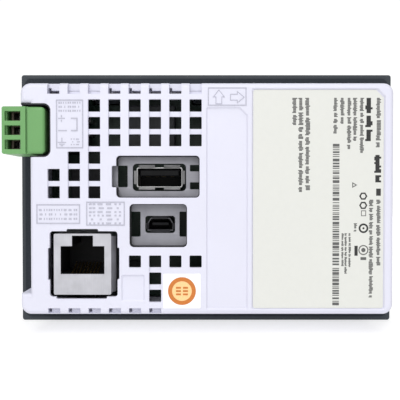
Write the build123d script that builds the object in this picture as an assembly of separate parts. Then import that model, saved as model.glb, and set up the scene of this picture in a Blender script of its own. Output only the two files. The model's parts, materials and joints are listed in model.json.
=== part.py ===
from build123d import *

import os

# Small touch operator panel, modelled in millimetres.
# Origin: centre of the panel cut-out on the rear face of the bezel's flange, which the panel is clamped to.
# +X points right when the unit is seen from behind, +Z up. The case and its ports face -Y, the screen +Y.

# Bezel and flange
BEZEL_WIDTH = 116.5
BEZEL_HEIGHT = 77.5
BEZEL_DEPTH = 5.5
BEZEL_CORNER = 0.8
REAR_EDGE = 0.3
FRONT_EDGE = 0.7
LIP = 1.25
GASKET_WIDTH = 3.4
GASKET_SEAT = 0.6
GASKET_PROUD = 0.6
WALL_GROOVE = 1.5
INNER_STEP = 0.3

# Rear case
CASE_WIDTH = 104.4
CASE_HEIGHT = 64.8
CASE_CORNER = 2.8
CASE_WALL = 2.0
CASE_BACK = 1.2
CASE_REAR = -22.5
CASE_EDGE = 1.4
CASE_FIT = 0.1
RECESS_X = -49.5
RECESS_LOW = -26.6
RECESS_TOP = 26.7

# Screen stack, from the front backwards
OVERLAY_WIDTH = 98.0
OVERLAY_HEIGHT = 50.0
OVERLAY_SEAT = 0.5
OVERLAY_THICK = 0.4
TOUCH_WIDTH = 92.0
TOUCH_HEIGHT = 44.0
TOUCH_THICK = 1.8
WINDOW_WIDTH = 84.0
WINDOW_HEIGHT = 36.0
LCD_WIDTH = 92.8
LCD_HEIGHT = 46.0
LCD_FRONT = 2.0
LCD_REAR = -2.7
LCD_SKIN = 0.3
LCD_WALL = 0.5
LCD_GLASS = 2.0
LCD_BOARD = 0.8
SEAT_GAP = 0.2

# Circuit board
BOARD_REAR = -6.0
BOARD_FRONT = -4.4
BOARD_LEFT = -47.2
BOARD_RIGHT = 49.8
BOARD_HALF_HEIGHT = 30.0
FIXINGS = [(-39.5, 27.9), (46.5, 27.9), (-22.5, -27.9), (46.5, -27.9)]
BOSS_RADIUS = 2.2
PILOT_RADIUS = 0.95
FIXING_HOLE = 1.2
HOOK_XS = (-30.0, 0.0, 30.0)
HOOK_WIDTH = 8.0
HOOK_TIP = -5.0
HOOK_LOW = 29.0
HOOK_TOP = 30.2
HOOK_REACH = 30.8
LEDGE_REAR = -5.0
LEDGE_FRONT = -2.8

# Parts on the boards, as (left, right, low, top), and their heights
PROCESSOR = (16, 30, 0, 14)
MEMORIES = [(34, 43, 2, 12), (34, 43, -12, -2)]
NETWORK_CHIP = (-24.5, -17.5, -26, -19)
MAGNETICS = (-40.0, -28.4, -1.0, 8.9)
CONVERTER = (-24.0, -9.3, 14.5, 27.5)
INDUCTOR = (-21.5, -14.5, 17.5, 24.5)
PROCESSOR_HEIGHT = 1.4
CHIP_HEIGHT = 1.2
MAGNETICS_HEIGHT = 6.5
CONVERTER_HEIGHT = 6.0
CONVERTER_SKIN = 0.4
INDUCTOR_HEIGHT = 4.5
CAPACITORS = [(5.5, 12.0), (5.5, 20.0)]
CAPACITOR_RADIUS = 3.15
CAPACITOR_HEIGHT = 8.0
SCREW_CAP_RADIUS = 1.9
SCREW_CAP = 1.4
CROSS_HALF = 1.1
CROSS_SLOT = 0.2
DISPLAY_LINK = (30, 42, -8, -4)

# Touch panel's tail: it leaves the panel's lower edge and turns back to the board
TAIL_LEFT = 10.0
TAIL_RIGHT = 18.0
TAIL_Z = -24.5
TAIL_HALF = 0.1
TAIL_Y = 3.5
TAIL_END = -3.9

# Slots for the clips that hold the unit in its panel
CLIP_XS = (-38.0, 38.0)
CLIP_HALF = 4.5
CLIP_REAR = -13.5
CLIP_FRONT = -10.5
CLIP_DEPTH = 1.2

# Vent grid, counted from the upper left corner of the case
VENT = 3.4
VENT_CORNER = 0.3
VENT_X0 = -42.8
VENT_Z0 = 26.1
VENT_PITCH_X = 5.66
VENT_PITCH_Z = 4.845
VENT_SINK = 0.65
VENT_COLUMNS = [
    (0, 4, 5),
    (1, 3, 5),
    (2, 0, 5),
    (3, 0, 2),
    (4, 0, 2),
    (5, 0, 2),
    (6, 0, 2),
    (7, 0, 2),
    (4, 9, 9),
    (5, 9, 11),
    (6, 9, 9),
    (7, 9, 9),
]
TOP_NOTCHES = 8
OPEN_TOP_NOTCHES = (0, 3, 4, 5, 6)
LOW_NOTCHES = 6
LOW_NOTCH_Z = -31.3
NOTCH_DEPTH = 2.0
NOTCH_LOW = 29.3
NOTCH_SLOT = 1.15
NOTCH_SLIT = 1.9
NOTCH_REACH = 6.0
RIB_THICK = 1.2

# Power connector: a screw plug with three ways on a board header
WAYS = 3
PITCH = 3.96
PLUG_Z = 19.15
PLUG_HALF = 6.6
PLUG_LEFT = -57.05
PLUG_STEP = -49.95
PLUG_RIGHT = -45.25
PLUG_REAR = -23.0
PLUG_REAR_LOW = -22.7
PLUG_FRONT = -8.6
PLUG_CORNER = 1.2
PLUG_EDGE = 1.0
STEP_GROOVE = 0.5
ENTRY_LEFT = -56.25
ENTRY_RIGHT = -51.85
ENTRY_HALF = 1.35
NOSE_END = -38.15
NOSE_REAR = -13.4
NOSE_HALF = 5.25
PIN_Y = -10.9
PIN_SIZE = 1.0
PIN_TIP = -44.55
PIN_FOOT_X = -34.95
STRIP = 0.4
FORK_HALF = 1.0
FORK_X = -45.65
TINE_END = -38.75
BAR_X = -54.05
CAGE_LEFT = -54.75
CAGE_RIGHT = -51.15
CAGE_REAR = -21.3
CAGE_FRONT = -13.0
CAGE_HALF = 1.5
CAGE_TRAVEL = 1.1
SCREW_Y = -15.3
SCREW_SHANK = 0.75
SCREW_HEAD = 1.25
SLIDE_GAP = 0.05
POCKET_RIGHT = -43.61
POCKET_LOW = 11.7
POCKET_TOP = 26.7
POCKET_FLOOR = -8.2
POCKET_WALL = 1.5
POCKET_CORNER = 2.0
LINER = 0.4
LINER_REAR = -22.2
HEADER_WALL = 0.6

# Network jack, entered from behind
JACK_LEFT = -43.0
JACK_RIGHT = -26.9
JACK_LOW = -26.9
JACK_TOP = -9.75
JACK_REAR = -21.8
JACK_SKIN = 0.35
JACK_X = -34.95
JACK_MOUTH_WIDTH = 12.3
JACK_MOUTH_LOW = -21.1
JACK_MOUTH_TOP = -13.25
JACK_KEY_WIDTH = 5.9
JACK_KEY_TOP = -10.3
JACK_DEEP = -9.3
JACK_WAYS = 8
JACK_PITCH = 1.02
JACK_WIRE = 0.4
FINGER_REACH = 1.15
JACK_OPENINGS = [
    (-44.0, -25.0, -27.4, -9.0, 0.9),
    (-39.3, -30.4, -12.0, -8.4, 0.4),
    (-42.2, -28.0, -28.0, -24.0, 0.4),
    (-44.5, -40.0, -22.7, -13.7, 0.3),
    (-30.0, -24.5, -22.5, -13.6, 0.3),
]

# Two serial ports, each behind its own pocket in the case
PORT_A = (-13.5, 6.1)
PORT_A_WIDTH = 13.1
PORT_A_HEIGHT = 5.7
PORT_A_WAYS = (-3.5, -1.0, 1.0, 3.5)
PORT_MINI = (-13.3, -7.3)
PORT_MINI_WIDTH = 7.3
PORT_MINI_HEIGHT = 3.7
PORT_MINI_WAYS = (-1.6, -0.8, 0.0, 0.8, 1.6)
PORT_SKIN = 0.3
PORT_MOUTH = -18.3
SHIELD_REAR = -19.0
SHIELD_FRONT = -18.5
SHIELD_PLATES = [(-28.0, -1.0, -9.0, 13.6, 0.4), (-24.5, -1.0, -15.2, -8.0, 0.4)]
SHIELD_SLOTS = [
    (-25.3, -22.55, 3.3, 9.45, 0.3),
    (-4.8, -1.9, 7.8, 9.65, 0.2),
    (-4.8, -1.9, 2.7, 4.7, 0.2),
    (-21.6, -18.9, -10.8, -3.65, 0.3),
    (-7.8, -5.7, -10.8, -3.65, 0.3),
]
SHIELD_LEGS = [(-28.0, 10.0), (-1.5, 10.0), (-24.5, -14.8), (-1.5, -14.8)]
POCKET_A = (-25.35, -2.06, 0.37, 12.1, 1.1)
POCKET_A_NOTCH = (-26.6, -23.0, 3.24, 9.27, 0.4)
POCKET_MINI = (-21.66, -5.58, -13.5, -1.4, 1.2)
SEAL_WALL = 0.2
SEAL_REAR = -22.0

# Shallow areas on the rear face, as (left, right, low, top)
LABEL_AREA = (12.45, 49.8, -31.05, 30.9)
LABEL_CUT = 2.2
BLANK_AREA = (-0.25, 11.45, -31.0, 25.7)
BLANK_CUT = 2.3
SQUARE_AREA = (-24.0, -17.4, -28.7, -21.2)
AREA_SINK = 0.5
AREA_DRAFT = 40
LABEL_THICK = 0.2
LABEL_GAP = 0.45
MARK_AREA = (-12.2, -1.8, -30.6, -20.9)
MARK_THICK = 0.15


def block(x0, x1, y0, y1, z0, z1):
    """Box between two corners."""
    middle = Pos((x0 + x1) / 2, (y0 + y1) / 2, (z0 + z1) / 2)
    return middle * Box(x1 - x0, y1 - y0, z1 - z0)


def rect(x0, x1, z0, z1, radius=0.0):
    """Rectangle in X and Z between its edges, with rounded corners where a radius is given."""
    width = x1 - x0
    height = z1 - z0
    shape = RectangleRounded(width, height, radius) if radius else Rectangle(width, height)
    return Pos((x0 + x1) / 2, (z0 + z1) / 2) * shape


def centred(width, height, radius=0.0):
    """Rectangle about the origin."""
    return rect(-width / 2, width / 2, -height / 2, height / 2, radius)


def slab(outline, rear, front):
    """Solid between two Y planes from an outline drawn in X and Z."""
    return extrude(Plane.XZ.offset(-front) * outline, amount=front - rear)


def prism(points, x0, x1):
    """Solid between two X planes from corner points given in Y and Z."""
    outline = make_face(Polyline(*points, close=True))
    return extrude(Plane.YZ.offset(x0) * outline, amount=x1 - x0)


def rod(x, z, radius, rear, front):
    """Round bar along Y."""
    return slab(Pos(x, z) * Circle(radius), rear, front)


def cross_rod(y, z, radius, x0, x1):
    """Round bar along X."""
    return extrude(Plane.YZ.offset(x0) * Pos(y, z) * Circle(radius), amount=x1 - x0)


def way_heights():
    """Z of each way of the power connector, from the top down."""
    return [PLUG_Z + PITCH * (WAYS - 1) / 2 - PITCH * n for n in range(WAYS)]


def vent_x(column):
    return VENT_X0 + VENT_PITCH_X * column


def vent_z(row):
    return VENT_Z0 - VENT_PITCH_Z * row


# ---------------------------------------------------------------- bezel and screen


def case_outline(grow):
    """Outline of the rear case in X and Z, with its left recess, moved outwards by grow."""
    half_width = CASE_WIDTH / 2 + grow
    half_height = CASE_HEIGHT / 2 + grow
    whole = rect(-half_width, half_width, -half_height, half_height, CASE_CORNER + grow)
    recess = rect(-half_width - 1, RECESS_X - grow, RECESS_LOW + grow, RECESS_TOP - grow)
    return whole - recess


def snap_hook(x, side):
    """Hook on the bezel that snaps behind a ledge in the case wall; side is +1 on top, -1 below."""
    arm = block(x - HOOK_WIDTH / 2, x + HOOK_WIDTH / 2, HOOK_TIP, INNER_STEP, HOOK_LOW, HOOK_TOP)
    root = HOOK_TOP - 0.1
    profile = [(-4.9, root), (-4.2, HOOK_REACH), (-3.2, HOOK_REACH), (-2.9, root)]
    nose = prism(profile, x - HOOK_WIDTH / 2, x + HOOK_WIDTH / 2)
    hook = arm + nose
    return hook if side > 0 else mirror(hook, about=Plane.XY)


def front_bezel():
    """Moulded frame with the flange, the seats of the screen stack, four bosses and six hooks."""
    body = slab(centred(BEZEL_WIDTH, BEZEL_HEIGHT, BEZEL_CORNER), 0, BEZEL_DEPTH)
    body = fillet(body.faces().sort_by(Axis.Y)[0].edges(), REAR_EDGE)
    body = fillet(body.faces().sort_by(Axis.Y)[-1].edges(), FRONT_EDGE)
    touch_front = BEZEL_DEPTH - OVERLAY_SEAT
    touch_rear = touch_front - TOUCH_THICK
    seat = 2 * SEAT_GAP
    body -= slab(centred(OVERLAY_WIDTH + seat, OVERLAY_HEIGHT + seat, 1.2), touch_front, BEZEL_DEPTH)
    body -= slab(centred(TOUCH_WIDTH + seat, TOUCH_HEIGHT + seat, 0.5), touch_rear, touch_front)
    body -= slab(centred(WINDOW_WIDTH, WINDOW_HEIGHT, 0.8), 0, BEZEL_DEPTH)
    body -= slab(centred(LCD_WIDTH + seat, LCD_HEIGHT + seat, 0.5), 0, LCD_FRONT)
    tail_left = TAIL_LEFT - 0.4
    tail_right = TAIL_RIGHT + 0.4
    body -= block(tail_left, tail_right, touch_rear, touch_front, TAIL_Z - 0.5, -TOUCH_HEIGHT / 2)
    body -= block(tail_left, tail_right, 0, touch_rear + 0.1, TAIL_Z - 0.5, TAIL_Z + 0.6)
    body -= slab(case_outline(CASE_FIT) - case_outline(-CASE_WALL - CASE_FIT), 0, WALL_GROOVE)
    body -= slab(case_outline(-CASE_WALL - CASE_FIT / 2), 0, INNER_STEP)
    body -= gasket_ring(0, GASKET_SEAT)
    for x in HOOK_XS:
        body += snap_hook(x, 1)
        body += snap_hook(x, -1)
    for x, z in FIXINGS:
        body += rod(x, z, BOSS_RADIUS, BOARD_FRONT, INNER_STEP)
    for x, z in FIXINGS:
        body -= rod(x, z, PILOT_RADIUS, BOARD_FRONT, 1.6)
    return body


def gasket_ring(rear, front):
    """Ring that follows the flange just inside its lip."""
    outer = centred(BEZEL_WIDTH - 2 * LIP, BEZEL_HEIGHT - 2 * LIP, 2.0)
    inset = 2 * (LIP + GASKET_WIDTH)
    inner = centred(BEZEL_WIDTH - inset, BEZEL_HEIGHT - inset, 1.0)
    return slab(outer - inner, rear, front)


def panel_gasket():
    """Flat foam ring, proud of the flange by what the panel squeezes out of it."""
    return gasket_ring(-GASKET_PROUD, GASKET_SEAT)


def screen_overlay():
    """Printed front sheet bonded over the touch panel."""
    rear = BEZEL_DEPTH - OVERLAY_SEAT
    return slab(centred(OVERLAY_WIDTH, OVERLAY_HEIGHT, 1.0), rear, rear + OVERLAY_THICK)


def touch_panel():
    """Resistive touch glass."""
    front = BEZEL_DEPTH - OVERLAY_SEAT
    return slab(centred(TOUCH_WIDTH, TOUCH_HEIGHT, 0.3), front - TOUCH_THICK, front)


def touch_tail():
    """Flat cable from the touch panel's lower edge back to the board."""
    low = TAIL_Z - TAIL_HALF
    front = TAIL_Y + TAIL_HALF
    across = block(TAIL_LEFT, TAIL_RIGHT, TAIL_Y - TAIL_HALF, front, low, -TOUCH_HEIGHT / 2)
    back = block(TAIL_LEFT, TAIL_RIGHT, TAIL_END, front, low, TAIL_Z + TAIL_HALF)
    return across + back


def touch_connector():
    """Connector on the board that grips the touch panel's tail."""
    body = block(TAIL_LEFT - 0.5, TAIL_RIGHT + 0.5, BOARD_FRONT, -2.4, TAIL_Z - 1.1, TAIL_Z + 1.1)
    gap = TAIL_HALF + 0.05
    return body - block(TAIL_LEFT - 0.05, TAIL_RIGHT + 0.05, TAIL_END, -2.4, TAIL_Z - gap, TAIL_Z + gap)


def lcd_frame():
    """Folded metal frame round the display glass."""
    body = slab(centred(LCD_WIDTH, LCD_HEIGHT, 0.6), LCD_REAR, LCD_FRONT)
    inside = centred(LCD_WIDTH - 2 * LCD_WALL, LCD_HEIGHT - 2 * LCD_WALL)
    body -= slab(inside, LCD_REAR, LCD_FRONT - LCD_SKIN)
    return body - slab(centred(WINDOW_WIDTH + 0.4, WINDOW_HEIGHT + 0.4), LCD_REAR, LCD_FRONT)


def lcd_sheet(rear, front):
    """Plate that fills the display frame between two planes."""
    gap = LCD_WALL + 0.1
    return slab(centred(LCD_WIDTH - 2 * gap, LCD_HEIGHT - 2 * gap), rear, front)


def lcd_glass():
    """Display cell."""
    front = LCD_FRONT - LCD_SKIN
    return lcd_sheet(front - LCD_GLASS, front)


def lcd_backlight():
    """Light guide behind the display cell."""
    return lcd_sheet(LCD_REAR, LCD_FRONT - LCD_SKIN - LCD_GLASS)


def lcd_board():
    """Driver board that closes the display module."""
    return slab(centred(LCD_WIDTH, LCD_HEIGHT, 0.6), LCD_REAR - LCD_BOARD, LCD_REAR)


def display_connector():
    """Board-to-board connector between the driver board and the main board."""
    return slab(rect(*DISPLAY_LINK), BOARD_FRONT, LCD_REAR - LCD_BOARD)


# ---------------------------------------------------------------- rear case


def jack_opening():
    """Outline of the case opening round the network jack, with a shallow bulge on each side."""
    main_hole, *bulges = JACK_OPENINGS
    outline = rect(*main_hole)
    for bulge in bulges:
        outline += rect(*bulge)
    return outline


def port_openings():
    """Outlines of the two openings over the port shield; the larger one has a notch at its left."""
    return [rect(*POCKET_A) + rect(*POCKET_A_NOTCH), rect(*POCKET_MINI)]


def port_seals():
    """Two thin dark seals that line the port pockets, between the case and the port shield."""
    seals = []
    for x0, x1, z0, z1, radius in (POCKET_A, POCKET_MINI):
        inside = rect(x0 + SEAL_WALL, x1 - SEAL_WALL, z0 + SEAL_WALL, z1 - SEAL_WALL, radius - SEAL_WALL)
        ring = rect(x0, x1, z0, z1, radius) - inside
        seals.append(slab(ring - rect(*POCKET_A_NOTCH), SEAL_REAR, SHIELD_REAR))
    return seals


def vents(case):
    """Square vent holes, joined down each column by a slightly sunk strip."""
    for column, first, last in VENT_COLUMNS:
        x = vent_x(column)
        half = VENT / 2
        if last > first:
            strip = rect(x - half, x + half, vent_z(last) - half, vent_z(first) + half)
            case -= slab(strip, CASE_REAR, CASE_REAR + VENT_SINK)
        for row in range(first, last + 1):
            z = vent_z(row)
            hole = rect(x - half, x + half, z - half, z + half, VENT_CORNER)
            case -= slab(hole, CASE_REAR, CASE_REAR + CASE_BACK)
    return case


def edge_notches(case):
    """Notches in line with the vent columns, along the top and the bottom edge."""
    top = CASE_HEIGHT / 2 + 1
    rib_left = vent_x(0) - VENT
    rib_right = vent_x(TOP_NOTCHES - 1) + VENT
    floor = CASE_REAR + NOTCH_DEPTH
    rib_rear = CASE_REAR + CASE_BACK
    rib_low = NOTCH_LOW - RIB_THICK / 2
    case += block(rib_left, rib_right, rib_rear, floor + RIB_THICK, rib_low, NOTCH_LOW + 1.0)
    for column in range(TOP_NOTCHES):
        left = vent_x(column) - VENT / 2
        case -= block(left, left + VENT, CASE_REAR, floor, NOTCH_LOW, top)
        if column in OPEN_TOP_NOTCHES:
            end = CASE_REAR + NOTCH_REACH
            case -= block(left, left + VENT, CASE_REAR, end, NOTCH_LOW, NOTCH_LOW + NOTCH_SLOT)
            case -= block(left, left + 0.75, CASE_REAR, end, NOTCH_LOW, NOTCH_LOW + NOTCH_SLIT)
    for column in range(LOW_NOTCHES):
        left = vent_x(column) - VENT / 2
        case -= block(left, left + VENT, CASE_REAR, CASE_REAR + 1.4, LOW_NOTCH_Z - 0.7, LOW_NOTCH_Z + 0.7)
        case -= block(left, left + 0.8, CASE_REAR, CASE_REAR + 3.0, LOW_NOTCH_Z - 0.6, LOW_NOTCH_Z + 0.6)
    return case


def power_pocket(case):
    """Pocket for the power plug, open to the rear and to the left, with a window for the header."""
    right = POCKET_RIGHT + POCKET_WALL
    case += block(
        RECESS_X + 1,
        right,
        CASE_REAR + 1,
        POCKET_FLOOR + POCKET_WALL,
        POCKET_LOW - POCKET_WALL,
        POCKET_TOP + POCKET_WALL,
    )
    case -= slab(pocket_outline(0), CASE_REAR - 1, POCKET_FLOOR)
    return case - header_window()


def pocket_outline(shrink):
    """Outline of the power pocket, moved inwards by shrink; it runs out past the left side."""
    low = POCKET_LOW + shrink
    top = POCKET_TOP - shrink
    return rect(-60, POCKET_RIGHT - shrink, low, top, POCKET_CORNER - shrink)


def header_window():
    """Window from the power pocket to the header."""
    half = NOSE_HALF + HEADER_WALL + 0.4
    right = POCKET_RIGHT + POCKET_WALL + 1
    front = POCKET_FLOOR + POCKET_WALL
    return block(PLUG_RIGHT, right, NOSE_REAR - HEADER_WALL - 0.4, front, PLUG_Z - half, PLUG_Z + half)


def power_seal():
    """Rubber strip that lines the power pocket round the plug."""
    strip = slab(pocket_outline(0) - pocket_outline(LINER), LINER_REAR, POCKET_FLOOR)
    strip -= block(-70, RECESS_X, CASE_REAR, 0, 0, PLUG_Z)
    strip -= block(-70, 0.3 - CASE_WIDTH / 2, CASE_REAR, 0, PLUG_Z, 40)
    return strip - header_window()


def clip_slots(case):
    """Shallow slots in the top and bottom walls that the panel clips hook into."""
    wall = CASE_HEIGHT / 2
    for x in CLIP_XS:
        for low, top in ((wall - CLIP_DEPTH, wall + 1), (-wall - 1, CLIP_DEPTH - wall)):
            case -= block(x - CLIP_HALF, x + CLIP_HALF, CLIP_REAR, CLIP_FRONT, low, top)
    return case


def area_outline(area, cut, shrink):
    """Outline of a shallow area, moved inwards by shrink, with its upper right corner cut off."""
    x0, x1, z0, z1 = area
    outline = rect(x0 + shrink, x1 - shrink, z0 + shrink, z1 - shrink)
    corners = outline.vertices().group_by(Axis.X)[-1].sort_by(Axis.Y)
    if cut:
        outline = chamfer(corners[-1], cut)
        rest = [v for v in outline.vertices() if v.X < x1 - cut - 1 or v.Y < 0]
        return fillet(rest, 0.6)
    return fillet(outline.vertices(), 0.6)


def shallow_area(area, cut):
    """Hollow of a shallow area in the rear face, with sloped sides."""
    mouth = Plane.XZ.offset(-CASE_REAR) * area_outline(area, cut, 0)
    return extrude(mouth, amount=-AREA_SINK, taper=AREA_DRAFT)


def rear_case():
    """Moulded rear shell with vents, port openings and the power pocket."""
    case = slab(case_outline(0), CASE_REAR, WALL_GROOVE)
    case = fillet(case.faces().sort_by(Axis.Y)[0].edges(), CASE_EDGE)
    case -= slab(case_outline(-CASE_WALL), CASE_REAR + CASE_BACK, WALL_GROOVE)
    case = power_pocket(case)
    for outline in port_openings():
        case -= slab(outline, CASE_REAR, CASE_REAR + CASE_BACK)
    case -= slab(jack_opening(), CASE_REAR, CASE_REAR + CASE_BACK)
    case = vents(case)
    case = edge_notches(case)
    case = clip_slots(case)
    for area, cut in ((LABEL_AREA, LABEL_CUT), (BLANK_AREA, BLANK_CUT), (SQUARE_AREA, 0)):
        case -= shallow_area(area, cut)
    for x in HOOK_XS:
        half = HOOK_WIDTH / 2 + 0.3
        for low, top in ((HOOK_TOP + 0.1, HOOK_REACH + 0.3), (-HOOK_REACH - 0.3, -HOOK_TOP - 0.1)):
            case -= block(x - half, x + half, LEDGE_REAR, LEDGE_FRONT, low, top)
    return case


def rating_label():
    """Printed label laid in its shallow area."""
    floor = CASE_REAR + AREA_SINK
    return slab(area_outline(LABEL_AREA, LABEL_CUT, LABEL_GAP), floor - LABEL_THICK, floor)


def mark_label():
    """Small square sticker on the rear face."""
    return slab(rect(*MARK_AREA, 0.3), CASE_REAR - MARK_THICK, CASE_REAR)


# ---------------------------------------------------------------- main board


def main_board():
    """Main circuit board with fixing holes, hook notches and header pin holes."""
    outline = rect(BOARD_LEFT, BOARD_RIGHT, -BOARD_HALF_HEIGHT, BOARD_HALF_HEIGHT, 0.5)
    for x in HOOK_XS:
        half = HOOK_WIDTH / 2 + 0.5
        outline -= rect(x - half, x + half, HOOK_LOW - 0.6, BOARD_HALF_HEIGHT + 1)
        outline -= rect(x - half, x + half, -BOARD_HALF_HEIGHT - 1, 0.6 - HOOK_LOW)
    for x, z in FIXINGS:
        outline -= Pos(x, z) * Circle(FIXING_HOLE)
    for z in way_heights():
        outline -= Pos(PIN_FOOT_X, z) * Circle(0.75)
    return slab(outline, BOARD_REAR, BOARD_FRONT)


def board_screws():
    """Four self-tapping screws with cross recesses."""
    screws = []
    rear = BOARD_REAR - SCREW_CAP
    for x, z in FIXINGS:
        screw = rod(x, z, SCREW_CAP_RADIUS, rear, BOARD_REAR)
        screw = fillet(screw.faces().sort_by(Axis.Y)[0].edges(), 0.4)
        screw += rod(x, z, PILOT_RADIUS - 0.05, BOARD_REAR, 1.2)
        for wide, high in ((CROSS_HALF, CROSS_SLOT), (CROSS_SLOT, CROSS_HALF)):
            screw -= block(x - wide, x + wide, rear, rear + 0.8, z - high, z + high)
        screws.append(screw)
    return screws


def chip(x0, x1, z0, z1, height):
    """Moulded chip body on the rear of the board."""
    body = block(x0, x1, BOARD_REAR - height, BOARD_REAR, z0, z1)
    return chamfer(body.faces().sort_by(Axis.Y)[0].edges(), 0.25)


def processor_chip():
    return chip(*PROCESSOR, PROCESSOR_HEIGHT)


def memory_chips():
    return [chip(*area, CHIP_HEIGHT) for area in MEMORIES]


def network_chip():
    return chip(*NETWORK_CHIP, CHIP_HEIGHT)


def network_magnetics():
    """Pulse transformer block between the network chip and the jack."""
    return chip(*MAGNETICS, MAGNETICS_HEIGHT)


def converter_shield():
    """Folded can over the power converter."""
    x0, x1, z0, z1 = CONVERTER
    skin = CONVERTER_SKIN
    rear = BOARD_REAR - CONVERTER_HEIGHT
    can = block(x0, x1, rear, BOARD_REAR, z0, z1)
    can = fillet(can.faces().sort_by(Axis.Y)[0].edges(), 0.5)
    return can - block(x0 + skin, x1 - skin, rear + skin, BOARD_REAR, z0 + skin, z1 - skin)


def power_inductor():
    """Square inductor under the converter can."""
    body = slab(rect(*INDUCTOR), BOARD_REAR - INDUCTOR_HEIGHT, BOARD_REAR)
    return chamfer(body.edges().filter_by(Axis.Y), 1.2)


def capacitors():
    """Two electrolytic capacitors in line below the power input."""
    cans = []
    for x, z in CAPACITORS:
        can = rod(x, z, CAPACITOR_RADIUS, BOARD_REAR - CAPACITOR_HEIGHT, BOARD_REAR)
        can = fillet(can.faces().sort_by(Axis.Y)[0].edges(), 0.5)
        cans.append(can)
    return cans


# ---------------------------------------------------------------- network jack


def jack_mouth(rear, front):
    """Stepped opening that a network plug enters, with the groove for its latch on top."""
    half = JACK_MOUTH_WIDTH / 2
    key = JACK_KEY_WIDTH / 2
    outline = rect(JACK_X - half, JACK_X + half, JACK_MOUTH_LOW, JACK_MOUTH_TOP)
    outline += rect(JACK_X - key, JACK_X + key, JACK_MOUTH_TOP - 0.1, JACK_KEY_TOP)
    return slab(outline, rear, front)


def jack_way_xs():
    """X of each contact of the network jack."""
    return [JACK_X + JACK_PITCH * (n - (JACK_WAYS - 1) / 2) for n in range(JACK_WAYS)]


def jack_shell():
    """Folded screening shell of the network jack."""
    shell = block(JACK_LEFT, JACK_RIGHT, JACK_REAR, BOARD_REAR, JACK_LOW, JACK_TOP)
    shell = fillet(shell.edges().filter_by(Axis.Y), 0.4)
    shell -= block(
        JACK_LEFT + JACK_SKIN,
        JACK_RIGHT - JACK_SKIN,
        JACK_REAR + JACK_SKIN,
        BOARD_REAR,
        JACK_LOW + JACK_SKIN,
        JACK_TOP - JACK_SKIN,
    )
    shell -= jack_mouth(JACK_REAR, JACK_REAR + JACK_SKIN)
    return shell + grounding_finger()


def grounding_finger():
    """Long spring tab that leans out from the right wall of the jack towards the case opening."""
    profile = [
        (JACK_REAR + 0.15, -JACK_SKIN),
        (JACK_REAR + 0.15, 0.0),
        (JACK_REAR + 1.8, FINGER_REACH),
        (JACK_REAR + 2.1, FINGER_REACH - 0.2),
        (JACK_REAR + 0.7, -JACK_SKIN),
    ]
    half = (JACK_TOP - JACK_LOW) / 2 - 0.7
    tab = Rot(0, 90, 0) * prism(profile, -half, half)
    return Pos(JACK_RIGHT, 0, (JACK_LOW + JACK_TOP) / 2) * tab


def jack_insert():
    """Moulded block inside the shell, with the plug cavity and the contact troughs."""
    gap = JACK_SKIN + 0.02
    body = block(
        JACK_LEFT + gap,
        JACK_RIGHT - gap,
        JACK_REAR + gap,
        BOARD_REAR,
        JACK_LOW + gap,
        JACK_TOP - gap,
    )
    body -= jack_mouth(JACK_REAR, JACK_DEEP)
    half = JACK_PITCH * JACK_WAYS / 2
    body -= block(JACK_X - half, JACK_X + half, -20.6, JACK_DEEP, -22.4, JACK_MOUTH_LOW)
    for x in jack_way_xs():
        body -= block(x - 0.25, x + 0.25, -20.4, BOARD_REAR, -23.0, -22.4)
    return body


def jack_contacts():
    """Eight sprung wires that slope from the mouth's lower edge into the cavity."""
    root = (-20.1, -21.9)
    tip = (-11.9, -18.8)
    wires = []
    for x in jack_way_xs():
        side = JACK_WIRE / 2
        points = [root, (tip[0], tip[1]), (tip[0] + 0.5, tip[1] - 0.25), (tip[0] + 0.35, tip[1] - 0.6)]
        points.append((root[0] + 0.1, root[1] - 0.4))
        wires.append(prism(points, x - side, x + side))
    return wires


def jack_pins():
    """Fixed tails of the contacts, lying in the insert down to the board."""
    return [block(x - 0.2, x + 0.2, -20.3, BOARD_REAR, -22.95, -22.45) for x in jack_way_xs()]


# ---------------------------------------------------------------- serial ports


def port_shield():
    """Steel plate behind both port pockets, on four legs."""
    upper, lower = SHIELD_PLATES
    outline = rect(*upper) + rect(*lower)
    outline -= Pos(*PORT_A) * RectangleRounded(PORT_A_WIDTH + 2.1, PORT_A_HEIGHT + 2.1, 1.2)
    outline -= Pos(*PORT_MINI) * RectangleRounded(PORT_MINI_WIDTH + 1.2, PORT_MINI_HEIGHT + 1.2, 0.8)
    for slot in SHIELD_SLOTS:
        outline -= rect(*slot)
    plate = slab(outline, SHIELD_REAR, SHIELD_FRONT)
    for x, z in SHIELD_LEGS:
        plate += block(x, x + 0.5, SHIELD_REAR + 0.1, BOARD_REAR, z, z + 3.0)
    return plate


def lip(length, reach):
    """Flared lip of a port's mouth, centred on X, standing on the wall's outer face at Z 0."""
    points = [
        (PORT_MOUTH + 0.1, -PORT_SKIN),
        (PORT_MOUTH + 0.1, 0.0),
        (PORT_MOUTH - 0.45, reach),
        (PORT_MOUTH - 0.65, reach - 0.22),
    ]
    return prism(points, -length / 2, length / 2)


def port_a_shell():
    """Folded shell of the larger serial port, with six flared lips round its mouth."""
    width = PORT_A_WIDTH
    height = PORT_A_HEIGHT
    outline = RectangleRounded(width, height, 0.6)
    outline -= RectangleRounded(width - 2 * PORT_SKIN, height - 2 * PORT_SKIN, 0.3)
    shell = slab(outline, PORT_MOUTH, BOARD_REAR)
    for turn in (0, 180):
        for x in (-3.6, 3.6):
            shell += Rot(0, turn, 0) * Pos(x, 0, height / 2) * lip(4.6, 0.75)
    for turn in (90, 270):
        shell += Rot(0, turn, 0) * Pos(0, 0, width / 2) * lip(3.8, 0.8)
    return Pos(PORT_A[0], 0, PORT_A[1]) * shell


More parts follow.
